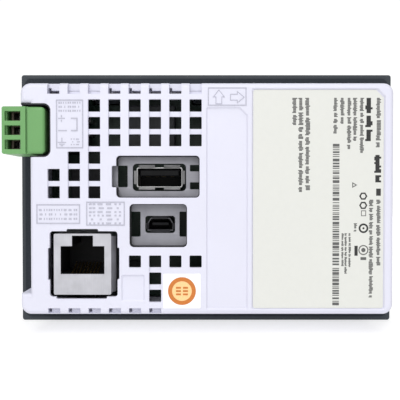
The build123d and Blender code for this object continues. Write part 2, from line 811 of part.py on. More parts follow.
def port_a_tongue():
    """Moulded base and tongue of the larger serial port."""
    base = slab(centred(12.4, 5.0, 0.3), -9.5, BOARD_REAR)
    tongue = block(-5.6, 5.6, -18.0, -9.4, 0.35, 2.2)
    tongue = chamfer(tongue.faces().sort_by(Axis.Y)[0].edges(), 0.3)
    for x in PORT_A_WAYS:
        tongue -= block(x - 0.55, x + 0.55, -17.1, -9.5, 0.35, 0.55)
    return Pos(PORT_A[0], 0, PORT_A[1]) * (base + tongue)


def port_a_contacts():
    """Four flat contacts in grooves under the tongue."""
    strips = []
    for x in PORT_A_WAYS:
        strip = block(x - 0.5, x + 0.5, -17.0, -9.5, 0.35, 0.55)
        strips.append(Pos(PORT_A[0], 0, PORT_A[1]) * strip)
    return strips


def mini_outline(shrink):
    """Outline of the smaller port: its two upper corners are cut back."""
    half_width = PORT_MINI_WIDTH / 2 - shrink
    half_height = PORT_MINI_HEIGHT / 2 - shrink
    cut = 0.9 - shrink / 2
    points = [
        (-half_width, -half_height),
        (half_width, -half_height),
        (half_width, 0.4),
        (half_width - cut, half_height),
        (cut - half_width, half_height),
        (-half_width, 0.4),
    ]
    return make_face(Polyline(*points, close=True))


def port_mini_shell():
    """Folded shell of the smaller serial port, with four flared lips round its mouth."""
    shell = slab(mini_outline(0) - mini_outline(PORT_SKIN), PORT_MOUTH, BOARD_REAR)
    reach = 0.45
    shell += Pos(0, 0, PORT_MINI_HEIGHT / 2) * lip(4.4, reach)
    shell += Rot(0, 180, 0) * Pos(0, 0, PORT_MINI_HEIGHT / 2) * lip(5.6, reach)
    for turn in (90, 270):
        side = Rot(0, turn, 0) * Pos(0, 0, PORT_MINI_WIDTH / 2) * lip(1.6, reach)
        shell += Pos(0, 0, -0.5) * side
    return Pos(PORT_MINI[0], 0, PORT_MINI[1]) * shell


def port_mini_tongue():
    """Moulded base and tongue of the smaller serial port."""
    base = slab(mini_outline(PORT_SKIN + 0.03), -10.0, BOARD_REAR)
    tongue = block(-2.3, 2.3, -17.6, -9.9, -0.25, 0.45)
    for x in PORT_MINI_WAYS:
        tongue -= block(x - 0.22, x + 0.22, -17.0, -10.0, -0.25, -0.05)
    return Pos(PORT_MINI[0], 0, PORT_MINI[1]) * (base + tongue)


def port_mini_contacts():
    """Five flat contacts in grooves under the tongue."""
    strips = []
    for x in PORT_MINI_WAYS:
        strip = block(x - 0.2, x + 0.2, -16.9, -10.0, -0.25, -0.05)
        strips.append(Pos(PORT_MINI[0], 0, PORT_MINI[1]) * strip)
    return strips


# ---------------------------------------------------------------- power connector


def power_header():
    """Board header whose shroud takes the plug's nose."""
    half = NOSE_HALF + 0.15
    wide = half + HEADER_WALL - 0.15
    left = PLUG_RIGHT + 0.2
    back = NOSE_END + 1.0
    body = block(left, back + 1.6, NOSE_REAR - HEADER_WALL, BOARD_REAR, PLUG_Z - wide, PLUG_Z + wide)
    body -= block(left, back, NOSE_REAR - 0.15, PLUG_FRONT + 0.15, PLUG_Z - half, PLUG_Z + half)
    hole = PIN_SIZE / 2 + 0.02
    for z in way_heights():
        body -= block(back, back + 1.6, PIN_Y - hole, PIN_Y + hole, z - hole, z + hole)
    return body


def header_pins():
    """Three bent pins, from the shroud down through the board."""
    pins = []
    half = PIN_SIZE / 2
    for z in way_heights():
        across = block(PIN_TIP, PIN_FOOT_X + half, PIN_Y - half, PIN_Y + half, z - half, z + half)
        across = chamfer(across.faces().sort_by(Axis.X)[0].edges(), 0.25)
        down = block(PIN_FOOT_X - half, PIN_FOOT_X + half, PIN_Y, -3.8, z - half, z + half)
        pins.append(across + down)
    return pins


def plug_contacts():
    """Three contacts: a bar through the clamp, a web, and a fork round the header pin."""
    contacts = []
    rear = PIN_Y - FORK_HALF
    front = PIN_Y + FORK_HALF
    for z in way_heights():
        bar = block(BAR_X, BAR_X + STRIP, CAGE_FRONT - 4.0, rear + STRIP, z - 0.9, z + 0.9)
        rear_tine = block(BAR_X, TINE_END, rear, rear + STRIP, z - 0.6, z + 0.6)
        bridge = block(FORK_X, FORK_X + STRIP, rear, front, z - 0.6, z + 0.6)
        front_tine = block(FORK_X, TINE_END, front - STRIP, front, z - 0.6, z + 0.6)
        contacts.append(bar + rear_tine + bridge + front_tine)
    return contacts


def plug_body():
    """Moulded plug with wire entries behind, screw holes on its outer end and a nose for the header."""
    low = PLUG_Z - PLUG_HALF
    top = PLUG_Z + PLUG_HALF
    outer = block(PLUG_LEFT, PLUG_STEP, PLUG_REAR, PLUG_FRONT, low, top)
    outer = fillet(outer.edges().filter_by(Axis.Y).sort_by(Axis.X)[:2], 0.6)
    inner = slab(rect(PLUG_STEP - 3, PLUG_RIGHT, low, top, PLUG_CORNER), PLUG_REAR_LOW, PLUG_FRONT)
    inner = fillet(inner.faces().sort_by(Axis.Y)[0].edges(), PLUG_EDGE)
    nose = block(PLUG_RIGHT - 2, NOSE_END, NOSE_REAR, PLUG_FRONT, PLUG_Z - NOSE_HALF, PLUG_Z + NOSE_HALF)
    nose = chamfer(nose.faces().sort_by(Axis.X)[-1].edges(), 0.3)
    body = outer + inner + nose
    body -= block(PLUG_STEP - STEP_GROOVE, PLUG_STEP, PLUG_REAR, PLUG_REAR + 0.8, low, top)
    for z in way_heights():
        body -= plug_way(z)
    return body


def plug_way(z):
    """Hollows of one way of the plug."""
    stop = CAGE_LEFT - CAGE_TRAVEL - SLIDE_GAP
    mouth = rect(ENTRY_LEFT, ENTRY_RIGHT, z - ENTRY_HALF, z + ENTRY_HALF, 0.2)
    depth = CAGE_REAR - 0.4 - PLUG_REAR
    hollow = extrude(Plane.XZ.offset(-PLUG_REAR) * mouth, amount=-depth, taper=3)
    half = CAGE_HALF + SLIDE_GAP
    hollow += block(stop, CAGE_RIGHT + SLIDE_GAP, CAGE_REAR - 0.4, CAGE_FRONT + 0.4, z - half, z + half)
    hollow += cross_rod(SCREW_Y, z, SCREW_HEAD + 0.1, PLUG_LEFT, stop - 0.4)
    hollow += cross_rod(SCREW_Y, z, SCREW_SHANK + 0.1, PLUG_LEFT, stop)
    rear = PIN_Y - FORK_HALF - SLIDE_GAP
    web_front = rear + STRIP + 2 * SLIDE_GAP
    hollow += block(BAR_X, BAR_X + STRIP, CAGE_FRONT, web_front, z - 0.95, z + 0.95)
    hollow += block(BAR_X, FORK_X, rear, web_front, z - 0.65, z + 0.65)
    hollow += block(FORK_X, NOSE_END, rear, PIN_Y + FORK_HALF + SLIDE_GAP, z - 0.65, z + 0.65)
    return hollow


def clamp_cage(z):
    """Clamp frame that the screw draws towards its head, closing on the wire."""
    body = block(CAGE_LEFT, CAGE_RIGHT, CAGE_REAR, CAGE_FRONT, z - CAGE_HALF, z + CAGE_HALF)
    body = fillet(body.edges().filter_by(Axis.Y), 0.3)
    body -= block(CAGE_LEFT + 0.6, CAGE_RIGHT - 0.5, CAGE_REAR, CAGE_FRONT, z - 1.0, z + 1.0)
    return body - cross_rod(SCREW_Y, z, SCREW_SHANK + SLIDE_GAP, CAGE_LEFT, CAGE_LEFT + 0.6)


def terminal_screw(z):
    """Slotted clamp screw, turned from the plug's outer end."""
    seat = CAGE_LEFT - CAGE_TRAVEL - SLIDE_GAP - 0.4
    head = cross_rod(SCREW_Y, z, SCREW_HEAD, seat - 0.65, seat - SLIDE_GAP)
    shank = cross_rod(SCREW_Y, z, SCREW_SHANK, seat - 0.2, BAR_X - 0.1)
    slot = block(seat - 0.65, seat - 0.3, SCREW_Y - 2, SCREW_Y + 2, z - 0.2, z + 0.2)
    return head + shank - slot


# ---------------------------------------------------------------- output


def save(name, shape):
    """One STEP per node; a list of solids is saved as one group."""
    group = Compound(children=shape) if isinstance(shape, list) else shape
    export_step(group, f"parts/{name}.step")


def main():
    os.makedirs("parts", exist_ok=True)
    save("front_bezel", front_bezel())
    save("panel_gasket", panel_gasket())
    save("screen_overlay", screen_overlay())
    save("touch_panel", touch_panel())
    save("touch_tail", touch_tail())
    save("touch_connector", touch_connector())
    save("lcd_frame", lcd_frame())
    save("lcd_glass", lcd_glass())
    save("lcd_backlight", lcd_backlight())
    save("lcd_board", lcd_board())
    save("display_connector", display_connector())
    save("rear_case", rear_case())
    save("rating_label", rating_label())
    save("mark_label", mark_label())
    save("main_board", main_board())
    save("board_screws", board_screws())
    save("processor_chip", processor_chip())
    save("memory_chips", memory_chips())
    save("network_chip", network_chip())
    save("network_magnetics", network_magnetics())
    save("converter_shield", converter_shield())
    save("power_inductor", power_inductor())
    save("capacitors", capacitors())
    save("jack_shell", jack_shell())
    save("jack_insert", jack_insert())
    save("jack_contacts", jack_contacts())
    save("jack_pins", jack_pins())
    save("port_seals", port_seals())
    save("port_shield", port_shield())
    save("port_a_shell", port_a_shell())
    save("port_a_tongue", port_a_tongue())
    save("port_a_contacts", port_a_contacts())
    save("port_mini_shell", port_mini_shell())
    save("port_mini_tongue", port_mini_tongue())
    save("port_mini_contacts", port_mini_contacts())
    save("power_seal", power_seal())
    save("power_header", power_header())
    save("header_pins", header_pins())
    save("plug_body", plug_body())
    save("plug_contacts", plug_contacts())
    for number, z in enumerate(way_heights(), 1):
        save(f"clamp_cage_{number}", clamp_cage(z))
        save(f"terminal_screw_{number}", terminal_screw(z))


main()
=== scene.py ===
import json
import math
import random

import bmesh
import bpy
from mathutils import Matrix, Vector


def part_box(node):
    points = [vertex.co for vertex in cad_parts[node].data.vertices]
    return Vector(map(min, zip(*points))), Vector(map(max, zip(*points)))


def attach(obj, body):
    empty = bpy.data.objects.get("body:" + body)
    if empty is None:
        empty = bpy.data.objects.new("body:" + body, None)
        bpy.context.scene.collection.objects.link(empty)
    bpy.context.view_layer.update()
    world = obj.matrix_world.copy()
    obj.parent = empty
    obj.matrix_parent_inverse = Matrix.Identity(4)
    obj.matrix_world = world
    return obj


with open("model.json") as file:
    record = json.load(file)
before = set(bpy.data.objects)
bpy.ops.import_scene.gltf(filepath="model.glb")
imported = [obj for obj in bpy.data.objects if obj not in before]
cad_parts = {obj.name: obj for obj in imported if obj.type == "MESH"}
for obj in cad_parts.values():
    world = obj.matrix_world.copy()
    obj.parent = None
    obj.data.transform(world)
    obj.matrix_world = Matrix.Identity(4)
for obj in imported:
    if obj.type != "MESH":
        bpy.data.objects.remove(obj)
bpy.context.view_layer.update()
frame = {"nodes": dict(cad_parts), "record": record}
NODES = frame["nodes"]
MM = 0.001

# Planes and corners that the pieces below are placed from, all read from the CAD model.
BEZEL_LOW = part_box("front_bezel")[0]
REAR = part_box("rear_case")[0].y
LABEL_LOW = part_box("rating_label")[0]
MARK_LOW, MARK_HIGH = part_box("mark_label")
OVERLAY_LOW, OVERLAY_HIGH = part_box("screen_overlay")

# Raised marks stand RAISED above the rear face and are sunk into it by ROOT. Print is INK thick.
RAISED = 0.12 * MM
ROOT = 0.1 * MM
RAISED_SLOPE = 0.06 * MM
INK = 0.015 * MM

# Edge rounding of the CAD nodes, in millimetres
SOFT_EDGES = (
    ("front_bezel", 0.15),
    ("rear_case", 0.12),
    ("plug_body", 0.15),
    ("power_header", 0.1),
    ("jack_shell", 0.08),
    ("jack_insert", 0.1),
    ("port_shield", 0.08),
    ("port_a_shell", 0.06),
    ("port_mini_shell", 0.06),
    ("port_seals", 0.08),
    ("panel_gasket", 0.12),
)
EDGE_SEGMENTS = 2
EDGE_ANGLE = math.radians(40)
WELD = 0.002 * MM

# Camera, in millimetres from the centre of the rear face, and its focal length
CAMERA_X = -1.95
CAMERA_BACK = 168.7
CAMERA_UP = 2.64
AIM_UP = -0.28
LENS = 54.4


# ---------------------------------------------------------------- material nodes


class Shader:
    """A node tree with one Principled shader, and short ways to add pattern nodes to it."""

    def __init__(self, name):
        self.material = bpy.data.materials.new(name)
        self.material.use_nodes = True
        self.tree = self.material.node_tree
        self.principled = self.tree.nodes["Principled BSDF"]
        self.place = self.add("ShaderNodeTexCoord").outputs["Object"]

    def add(self, kind, **values):
        node = self.tree.nodes.new(kind)
        for key, value in values.items():
            setattr(node, key, value)
        return node

    def link(self, source, target):
        self.tree.links.new(source, target)

    def value(self, socket, number):
        self.principled.inputs[socket].default_value = number

    def stretched(self, scale):
        """Object coordinates scaled by a vector, for patterns that run in one direction."""
        node = self.add("ShaderNodeMapping")
        node.inputs["Scale"].default_value = scale
        self.link(self.place, node.inputs["Vector"])
        return node.outputs["Vector"]

    def noise(self, size_mm, detail=2.0, roughness=0.5, vector=None):
        """Noise whose features are about size_mm across."""
        node = self.add("ShaderNodeTexNoise")
        node.inputs["Scale"].default_value = 1.0 if vector else 1000.0 / size_mm
        node.inputs["Detail"].default_value = detail
        node.inputs["Roughness"].default_value = roughness
        self.link(vector or self.place, node.inputs["Vector"])
        return node.outputs["Fac"]

    def cells(self, size_mm, feature="F1"):
        node = self.add("ShaderNodeTexVoronoi", feature=feature)
        node.inputs["Scale"].default_value = 1000.0 / size_mm
        self.link(self.place, node.inputs["Vector"])
        return node.outputs["Distance"]

    def ramp(self, source, stops):
        """Colour ramp; stops are (position, colour)."""
        node = self.add("ShaderNodeValToRGB")
        elements = node.color_ramp.elements
        while len(elements) < len(stops):
            elements.new(0.5)
        for element, (position, colour) in zip(elements, stops):
            element.position = position
            element.color = (*colour, 1.0)
        self.link(source, node.inputs["Fac"])
        return node.outputs["Color"]

    def span(self, source, low, high, from_low=0.3, from_high=0.7):
        """Maps a pattern's range to the range low to high."""
        node = self.add("ShaderNodeMapRange")
        node.inputs["From Min"].default_value = from_low
        node.inputs["From Max"].default_value = from_high
        node.inputs["To Min"].default_value = low
        node.inputs["To Max"].default_value = high
        self.link(source, node.inputs["Value"])
        return node.outputs["Result"]

    def mix(self, factor, first, second):
        node = self.add("ShaderNodeMix", data_type="RGBA")
        self.link(factor, node.inputs["Factor"])
        for socket, colour in ((6, first), (7, second)):
            if isinstance(colour, tuple):
                node.inputs[socket].default_value = (*colour, 1.0)
            else:
                self.link(colour, node.inputs[socket])
        return node.outputs[2]

    def maths(self, operation, first, second):
        node = self.add("ShaderNodeMath", operation=operation)
        for socket, number in enumerate((first, second)):
            if isinstance(number, (int, float)):
                node.inputs[socket].default_value = number
            else:
                self.link(number, node.inputs[socket])
        return node.outputs["Value"]

    def bump(self, height, strength, depth_mm, below=None):
        node = self.add("ShaderNodeBump")
        node.inputs["Strength"].default_value = strength
        node.inputs["Distance"].default_value = depth_mm * MM
        self.link(height, node.inputs["Height"])
        if below is not None:
            self.link(below, node.inputs["Normal"])
        return node.outputs["Normal"]

    def colour(self, source):
        self.link(source, self.principled.inputs["Base Color"])

    def roughness(self, source):
        self.link(source, self.principled.inputs["Roughness"])

    def normal(self, source):
        self.link(source, self.principled.inputs["Normal"])


def shade(colour, factor):
    return tuple(min(1.0, channel * factor) for channel in colour)


def moulded(name, colour, roughness, grain_mm=0.25, depth_mm=0.012, specular=0.5, spread=0.04, scuffs=0.0):
    """Injection-moulded plastic: spark-eroded grain, faint flow shading and dull patches from handling."""
    s = Shader(name)
    flow = s.noise(14, 3.0)
    fine = s.noise(grain_mm * 2.5, 2.0)
    tone = s.ramp(flow, [(0.3, shade(colour, 1 - spread)), (0.7, shade(colour, 1 + spread))])
    speck = s.span(fine, 0.0, 0.35)
    s.colour(s.mix(speck, tone, shade(colour, 1 - 1.6 * spread)))
    if scuffs:
        rubbed = s.span(s.noise(5, 6.0, 0.7), 0.0, scuffs, 0.52, 0.8)
        patches = s.span(s.noise(9, 4.0), roughness - 0.05, roughness + 0.06)
        s.roughness(s.maths("SUBTRACT", patches, rubbed))
    else:
        s.roughness(s.span(s.noise(9, 4.0), roughness - 0.05, roughness + 0.06))
    grain = s.cells(grain_mm, "SMOOTH_F1")
    waves = s.noise(6, 1.0)
    s.normal(s.bump(grain, 0.35, depth_mm, s.bump(waves, 0.15, 0.02)))
    s.value("Specular IOR Level", specular)
    return s.material


def sheet_metal(name, colour, roughness, along, metallic=1.0):
    """Rolled and plated sheet: lines of the length along in X, Y and Z, in mm, and cloudy plating."""
    s = Shader(name)
    lines = s.noise(1, 3.0, 0.6, s.stretched(tuple(1000.0 / length for length in along)))
    cloud = s.noise(4, 4.0)
    tone = s.ramp(cloud, [(0.3, shade(colour, 0.88)), (0.7, shade(colour, 1.08))])
    s.colour(s.mix(s.span(lines, 0.0, 0.3), tone, shade(colour, 0.75)))
    s.roughness(s.maths("ADD", s.span(lines, -0.06, 0.08), s.span(cloud, roughness - 0.04, roughness + 0.05)))
    s.normal(s.bump(lines, 0.25, 0.004))
    s.value("Metallic", metallic)
    return s.material


def plated(name, colour, roughness):
    """Small plated contact or screw, with tarnish clouds."""
    s = Shader(name)
    cloud = s.noise(0.9, 4.0)
    s.colour(s.ramp(cloud, [(0.35, shade(colour, 0.7)), (0.6, colour)]))
    s.roughness(s.span(cloud, roughness + 0.12, roughness - 0.05))
    s.normal(s.bump(s.noise(0.15, 2.0), 0.2, 0.003))
    s.value("Metallic", 1.0)
    return s.material


def foam(name, colour):
    """Closed-cell foam or moulded rubber."""
    s = Shader(name)
    cells = s.cells(0.35)
    s.colour(s.ramp(cells, [(0.0, shade(colour, 0.6)), (0.6, shade(colour, 1.3))]))
    s.roughness(s.span(cells, 0.8, 0.95, 0.0, 0.8))
    s.normal(s.bump(cells, 0.5, 0.03))
    s.value("Specular IOR Level", 0.25)
    return s.material


def film(name, colour, roughness, specular=0.5):
    """Printed film: faint coating mottle and a soft ripple from lamination."""
    s = Shader(name)
    mottle = s.noise(1.2, 5.0, 0.6)
    s.colour(s.ramp(mottle, [(0.3, shade(colour, 0.99)), (0.7, shade(colour, 1.01))]))
    s.roughness(s.span(s.noise(3, 3.0), roughness - 0.05, roughness + 0.07))
    s.normal(s.bump(mottle, 0.06, 0.002, s.bump(s.noise(12, 1.0), 0.1, 0.02)))
    s.value("Specular IOR Level", specular)
    return s.material


def ink(name, colour):
    """Screen-printed ink, slightly uneven in density. The raised marks' grey made with it is painted shade of
    their moulded edges.
    """
    s = Shader(name)
    density = s.noise(0.25, 3.0)
    s.colour(s.ramp(density, [(0.3, colour), (0.75, shade(colour, 1.25))]))
    s.roughness(s.span(density, 0.49, 0.63))
    s.normal(s.bump(density, 0.15, 0.003))
    return s.material


def solder_mask(name):
    """Circuit board: dark green mask over a grid of tracks."""
    s = Shader(name)
    tracks = s.add("ShaderNodeTexBrick")
    tracks.inputs["Scale"].default_value = 1.0
    tracks.inputs["Mortar Size"].default_value = 0.12
    tracks.inputs["Brick Width"].default_value = 2.6
    tracks.inputs["Row Height"].default_value = 0.55
    turned = s.add("ShaderNodeMapping")
    turned.inputs["Rotation"].default_value = (math.radians(90), 0, 0)
    turned.inputs["Scale"].default_value = (1000, 1000, 1000)
    s.link(s.place, turned.inputs["Vector"])
    s.link(turned.outputs["Vector"], tracks.inputs["Vector"])
    s.colour(s.mix(tracks.outputs["Fac"], (0.006, 0.028, 0.016), (0.004, 0.018, 0.011)))
    s.roughness(s.span(s.noise(2, 3.0), 0.3, 0.42))
    s.normal(s.bump(tracks.outputs["Fac"], 0.4, 0.02))
    return s.material


def board_glass(name, colour, roughness):
    """Glass and light guides of the display, with a faint haze."""
    s = Shader(name)
    haze = s.noise(2, 3.0)
    s.colour(s.ramp(haze, [(0.3, shade(colour, 0.9)), (0.7, colour)]))
    s.roughness(s.span(haze, roughness, roughness + 0.1))
    s.normal(s.bump(haze, 0.05, 0.01))
    return s.material


SLOT_MATERIALS = {
    "bezel_plastic": moulded("bezel_plastic", (0.035, 0.042, 0.051), 0.5, 0.3, 0.015, 0.35, 0.06, 0.12),
    "gasket_foam": foam("gasket_foam", (0.021, 0.025, 0.031)),
    # seal_rubber is near black: the seals lining the port and power openings are dark sheets standing in as
    # painted shade of the opening walls.
    "seal_rubber": foam("seal_rubber", (0.03, 0.03, 0.034)),
    "overlay_film": film("overlay_film", (0.006, 0.008, 0.01), 0.16, 0.3),
    "clear_glass": board_glass("clear_glass", (0.35, 0.4, 0.4), 0.08),
    "flex_film": film("flex_film", (0.3, 0.12, 0.02), 0.35),
    "black_moulding": moulded("black_moulding", (0.005, 0.005, 0.006), 0.55, 0.2, 0.006, 0.15),
    # On the port shield, which floors the port pockets, this mid-grey sheet is painted shade of the pockets;
    # the steel tone itself is real.
    "sheet_steel": sheet_metal("sheet_steel", (0.3, 0.3, 0.335), 0.42, (6.0, 1.0, 0.12), 0.4),
    "display_cell": board_glass("display_cell", (0.02, 0.025, 0.03), 0.1),
    "light_guide": board_glass("light_guide", (0.75, 0.76, 0.78), 0.3),
    "circuit_board": solder_mask("circuit_board"),
    "case_plastic": moulded("case_plastic", (0.67, 0.67, 0.77), 0.48, 0.28, 0.012, 0.4, 0.012, 0.1),
    "label_film": film("label_film", (0.665, 0.67, 0.635), 0.45, 0.35),
    "sticker_film": film("sticker_film", (0.9, 0.9, 0.9), 0.4, 0.4),
    "screw_steel": plated("screw_steel", (0.42, 0.42, 0.43), 0.34),
    "chip_resin": moulded("chip_resin", (0.016, 0.016, 0.018), 0.6, 0.12, 0.006, 0.3),
    "dark_sheet": sheet_metal("dark_sheet", (0.05, 0.052, 0.056), 0.5, (0.15, 1.0, 5.0), 0.4),
    "ferrite": moulded("ferrite", (0.025, 0.025, 0.027), 0.7, 0.3, 0.02, 0.3),
    "capacitor_can": sheet_metal("capacitor_can", (0.62, 0.62, 0.64), 0.35, (0.3, 3.0, 0.3)),
    "jack_steel": sheet_metal("jack_steel", (0.56, 0.56, 0.6), 0.42, (0.14, 1.0, 6.0), 0.75),
    "gold_contact": plated("gold_contact", (0.5, 0.36, 0.15), 0.28),
    "port_steel": sheet_metal("port_steel", (0.5, 0.5, 0.5), 0.36, (5.0, 5.0, 0.2)),
    # dark_port_steel is near-black plating: painted shadow on a port shell that sits in the shade of its
    # pocket.
    "dark_port_steel": sheet_metal("dark_port_steel", (0.1, 0.1, 0.11), 0.4, (5.0, 5.0, 0.2), 0.8),
    "tinned_contact": plated("tinned_contact", (0.66, 0.65, 0.62), 0.28),
    "plug_plastic": moulded("plug_plastic", (0.145, 0.34, 0.12), 0.42, 0.22, 0.008, 0.4, 0.05),
    # clamp_brass is near black, not brass colour: the clamps carry painted shade of the deep wire entries of
    # the plug.
    "clamp_brass": plated("clamp_brass", (0.06, 0.05, 0.04), 0.5),
}


def dress_nodes():
    """Gives every CAD node the material of its slot."""
    slot_of = {row["node"]: row["material_slot"] for row in frame["record"]["subparts"]}
    for name, node in NODES.items():
        material = SLOT_MATERIALS[slot_of[name]]
        node.data.materials.clear()
        node.data.materials.append(material)


def soften(name, width_mm):
    """Rounds a CAD node's sharp edges with modifiers, as far as its shortest edges allow."""
    node = NODES[name]
    weld = node.modifiers.new("weld", "WELD")
    weld.merge_threshold = WELD
    bevel = node.modifiers.new("bevel", "BEVEL")
    bevel.width = width_mm * MM
    bevel.segments = EDGE_SEGMENTS
    bevel.limit_method = "ANGLE"
    bevel.angle_limit = EDGE_ANGLE
    bevel.use_clamp_overlap = True
    bevel.harden_normals = False
    node.modifiers.new("weighted", "WEIGHTED_NORMAL").keep_sharp = False


# ---------------------------------------------------------------- raised and printed pieces


def piece(name, bm, material):
    """Turns a bmesh into a named object that rides on the unit's body."""
    bmesh.ops.recalc_face_normals(bm, faces=bm.faces)
    mesh = bpy.data.meshes.new(name)
    bm.to_mesh(mesh)
    bm.free()
    made = bpy.data.objects.new(name, mesh)
    bpy.context.scene.collection.objects.link(made)
    mesh.materials.append(material)
    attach(made, "unit")


def inset(points, distance):
    """Closed outline in X and Z moved inwards by distance; points run anticlockwise as listed in X, Z."""
    moved = []
    for before, here, after in zip(points[-1:] + points[:-1], points, points[1:] + points[:1]):
        first = (Vector(here) - Vector(before)).normalized()
        second = (Vector(after) - Vector(here)).normalized()
        normal_first = Vector((-first.y, first.x))
        normal_second = Vector((-second.y, second.x))
        miter = (normal_first + normal_second).normalized()
        reach = distance / max(0.3, miter.dot(normal_first))
        moved.append(tuple(Vector(here) + miter * reach))
    return moved


def loop(bm, points, y):
    return [bm.verts.new((x, y, z)) for x, z in points]


def bridge(bm, first, second):
    count = len(first)
    for n in range(count):
        after = (n + 1) % count
        bm.faces.new((first[n], first[after], second[after], second[n]))


def pad(bm, points, base, height, slope=0.0):
    """Closed solid standing on the plane Y = base towards the rear, its top drawn in by slope."""
    low = loop(bm, points, base)
    high = loop(bm, inset(points, slope) if slope else points, base - height)
    bridge(bm, low, high)
    bm.faces.new(low)
    bm.faces.new(high)


def band(bm, points, width, base, height, slope=0.0):
    """Closed raised line of the given width that follows a closed outline."""
    outer_low = loop(bm, points, base)
    outer_high = loop(bm, inset(points, slope) if slope else points, base - height)
    inner_high = loop(bm, inset(points, width - slope), base - height)
    inner_low = loop(bm, inset(points, width), base)
    bridge(bm, outer_low, outer_high)
    bridge(bm, outer_high, inner_high)
    bridge(bm, inner_high, inner_low)
    bridge(bm, inner_low, outer_low)


def rectangle(x0, x1, z0, z1):
    return [(x0, z0), (x1, z0), (x1, z1), (x0, z1)]


def circle(x, z, radius, count=48):
    turns = [2 * math.pi * n / count for n in range(count)]
    return [(x + radius * math.cos(turn), z + radius * math.sin(turn)) for turn in turns]


def scaled(points):
    """Points in millimetres as metres."""
    return [(x * MM, z * MM) for x, z in points]


# Wordless type in shares of its height: pitch of the stroke pairs, space after a word in pitches,
# the two strokes' offsets, how far strokes reach to either side, and how thick they are
TYPE_PITCH = 0.62
WORD_SPACE = 0.7
PAIR_OFFSETS = (0.0, 0.3)
LEFT_REACHES = (0.5, 0.5, 0.7)
RIGHT_REACHES = (0.22, 0.22, 0.5)
STROKE = 0.26
BOLD_STROKE = 0.34


def dummy_words(bm, x, z_top, z_low, height, rng, base, weight):
    """A line of wordless type running down the part: pairs of short strokes, grouped like words."""
    step = height * TYPE_PITCH
    z = z_top
    while z > z_low + step:
        for _ in range(rng.randint(2, 8)):
            if z < z_low + step:
                break
            for offset in PAIR_OFFSETS:
                left = x - height * rng.choice(LEFT_REACHES)
                right = x + height * rng.choice(RIGHT_REACHES)
                top = z - height * offset
                pad(bm, rectangle(left, right, top - height * weight, top), base, INK)
            z -= step
        z -= step * WORD_SPACE


# Raised wordless letters: share of its cell that one fills, rows in its height, how far dashes are
# shifted in shares of a cell, and a tile's width in thirds of a letter
LETTER_FILL = 0.78
LETTER_ROWS = 5
DASH_SHIFT = 0.15
TILE_THIRDS = 1.35


def dummy_letters(bm, x0, x1, z, height, count, rng):
    """A row of raised wordless shapes in equal cells: shifted dashes, tiles or five studs."""
    cell = (x1 - x0) / count
    row = height / LETTER_ROWS
    for n in range(count):
        left = x0 + n * cell
        right = left + cell * LETTER_FILL
        third = (right - left) / 3
        kind = rng.choice(("dashes", "tiles", "studs"))
        for level in (0, 2, 4):
            low = z - height / 2 + level * row
            if kind == "dashes":
                shift = DASH_SHIFT * cell * (1 if level == 2 else -1)
                spans = [(left + max(0, shift), right + min(0, shift))]
            elif kind == "tiles":
                tile = TILE_THIRDS * third
                spans = [(left, left + tile), (right - tile, right)]
            elif level == 2:
                spans = [(left + third, right - third)]
            else:
                spans = [(left, left + third), (right - third, right)]
            for start, end in spans:
                raised_bar(bm, start, end, low, low + row)


def raised_band(bm, points, width):
    """Raised line along a closed outline given in millimetres."""
    band(bm, scaled(points), width * MM, REAR + ROOT, ROOT + RAISED, RAISED_SLOPE)


def raised_bar(bm, x0, x1, z0, z1):
    pad(bm, scaled(rectangle(x0, x1, z0, z1)), REAR + ROOT, ROOT + RAISED, RAISED_SLOPE)


# Raised marks on the rear face, in millimetres. A frame or a bar is left, right, low, top.
FRAME_LINE = 0.4
FRAMES = (
    (-42.1, -34.45, 14.1, 27.75),
    (-47.7, -35.4, -7.0, -1.4),
    (-33.8, -22.9, -7.5, -0.7),
)

# Plus, minus and earth symbols of the power terminals, and the bracket that pairs the first two
SYMBOL_BARS = (
    (-41.5, -39.6, 22.3, 22.65),
    (-40.72, -40.38, 21.5, 22.2),
    (-40.72, -40.38, 22.75, 23.45),
    (-41.5, -39.0, 18.9, 19.25),
    (-40.6, -40.3, 16.0, 17.1),
    (-41.65, -39.25, 15.66, 15.94),
    (-41.25, -39.65, 15.16, 15.44),
    (-40.85, -40.05, 14.71, 14.99),
)
BRACKET = [
    (-37.9, 22.3),
    (-36.4, 22.3),
    (-36.4, 19.25),
    (-37.9, 19.25),
    (-37.9, 18.9),
    (-36.05, 18.9),
    (-36.05, 22.65),
    (-37.9, 22.65),
]

# Rows of raised wordless letters, as left, right, middle height, letter height, count
LETTERS = (
    (-41.4, -34.95, 25.7, 2.8, 5),
    (-38.0, -35.1, 15.95, 1.9, 2),
    (-47.0, -35.9, -4.3, 3.1, 8),
    (-33.0, -23.5, -2.55, 2.7, 4),
    (-33.0, -23.5, -5.7, 2.7, 4),
)

# Mounting direction: two open arrows in a frame
MOUNTING_FRAME = (0.2, 11.05, 25.95, 31.1)
MOUNTING_LINE = 0.36
ARROW_LINE = 0.26
ARROW_UP = [(2.35, 26.4), (4.25, 26.4), (4.25, 28.3), (5.1, 28.3), (3.3, 30.6), (1.5, 28.3), (2.35, 28.3)]
ARROW_RIGHT = [(6.4, 27.4), (8.3, 27.4), (8.3, 26.5), (10.55, 28.35), (8.3, 30.2), (8.3, 29.3), (6.4, 29.3)]


def raised_marks():
    """Raised frames, symbols and wordless letters on the rear face."""
    rng = random.Random(11)
    bm = bmesh.new()
    for area in FRAMES:
        raised_band(bm, rectangle(*area), FRAME_LINE)
    for row in LETTERS:
        dummy_letters(bm, *row, rng)
    for bar in SYMBOL_BARS:
        raised_bar(bm, *bar)
    pad(bm, scaled(BRACKET), REAR + ROOT, ROOT + RAISED)
    raised_band(bm, rectangle(*MOUNTING_FRAME), MOUNTING_LINE)
    raised_band(bm, ARROW_UP, ARROW_LINE)
    raised_band(bm, ARROW_RIGHT, ARROW_LINE)
    piece("raised_marks", bm, RAISED_MARK_SHADE)


